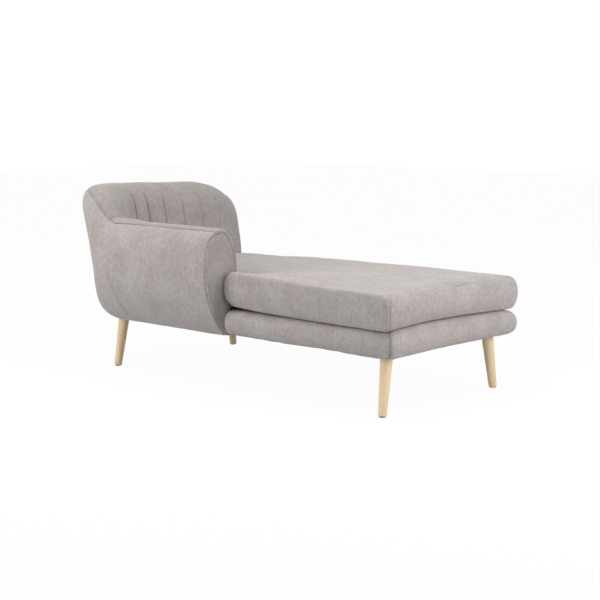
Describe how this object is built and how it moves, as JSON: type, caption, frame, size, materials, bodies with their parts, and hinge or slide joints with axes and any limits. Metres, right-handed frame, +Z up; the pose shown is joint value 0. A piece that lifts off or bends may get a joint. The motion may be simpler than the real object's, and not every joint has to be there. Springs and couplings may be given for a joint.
{
  "type": "lounge chair",
  "caption": "Upholstered chaise longue: a low back across one end turns into a single flared arm, with a loose bullnose seat cushion on a padded base and splayed tapered wooden legs.",
  "frame": {"origin": "on the floor under the middle of the chair's outline", "axes": "+X along the seat towards the foot end, -Y to the side with the arm, +Z up"},
  "size_m": [1.7212, 0.851, 0.7539],
  "materials": {
    "velour": "short-pile taupe-grey velour",
    "quilted_velour": "velour quilted on fibre wadding",
    "foam": "open-cell polyurethane foam",
    "deck_felt": "pressed felt",
    "dust_cloth": "black non-woven cloth",
    "webbing": "woven elastic webbing",
    "fibreboard": "raw hardboard",
    "plywood": "raw birch plywood",
    "pine": "planed pine",
    "beech": "clear satin lacquer",
    "zinc_steel": "bright zinc plating",
    "glide_plastic": "moulded"
  },
  "bodies": {
    "chaise": {"arm_facing": "velour", "arm_foam": "foam", "arm_inside_board": "fibreboard", "arm_inside_cover": "quilted_velour", "arm_outside_board": "fibreboard", "arm_outside_cover": "velour", "arm_rail": "pine", "arm_rib_front": "plywood", "arm_rib_rear": "plywood", "back_end_facing": "velour", "back_foam": "foam", "back_inside_panel": "quilted_velour", "back_outside_board": "fibreboard", "back_outside_cover": "velour", "back_rail_high": "pine", "back_rail_low": "pine", "back_rib_far": "plywood", "back_rib_middle": "plywood", "back_rib_near": "plywood", "back_strap_1": "webbing", "back_strap_2": "webbing", "base_cover": "velour", "base_edge_foam": "foam", "corner_block_far_back": "pine", "corner_block_far_foot": "pine", "corner_block_near_back": "pine", "corner_block_near_foot": "pine", "corner_rib": "plywood", "cross_rail_1": "pine", "cross_rail_2": "pine", "deck_pad": "deck_felt", "dust_cover": "dust_cloth", "glide_far_back": "glide_plastic", "glide_far_foot": "glide_plastic", "glide_near_back": "glide_plastic", "glide_near_foot": "glide_plastic", "leg_bolt_far_back": "zinc_steel", "leg_bolt_far_foot": "zinc_steel", "leg_bolt_near_back": "zinc_steel", "leg_bolt_near_foot": "zinc_steel", "leg_far_back": "beech", "leg_far_foot": "beech", "leg_near_back": "beech", "leg_near_foot": "beech", "leg_plate_far_back": "zinc_steel", "leg_plate_far_foot": "zinc_steel", "leg_plate_near_back": "zinc_steel", "leg_plate_near_foot": "zinc_steel", "rail_back": "pine", "rail_far": "pine", "rail_foot": "pine", "rail_near": "pine", "seat_spring_1": "zinc_steel", "seat_spring_2": "zinc_steel", "seat_spring_3": "zinc_steel", "seat_spring_4": "zinc_steel", "seat_spring_5": "zinc_steel"},
    "cushion": {"seat_cushion_cover": "velour", "seat_cushion_foam": "foam", "seat_cushion_bottom": "dust_cloth"}
  },
  "joints": [
    {"name": "cushion_lift", "type": "slide", "parent": "chaise", "child": "cushion", "axis": [0, 0, 1], "range_m": [0, 0.46]}
  ]
}
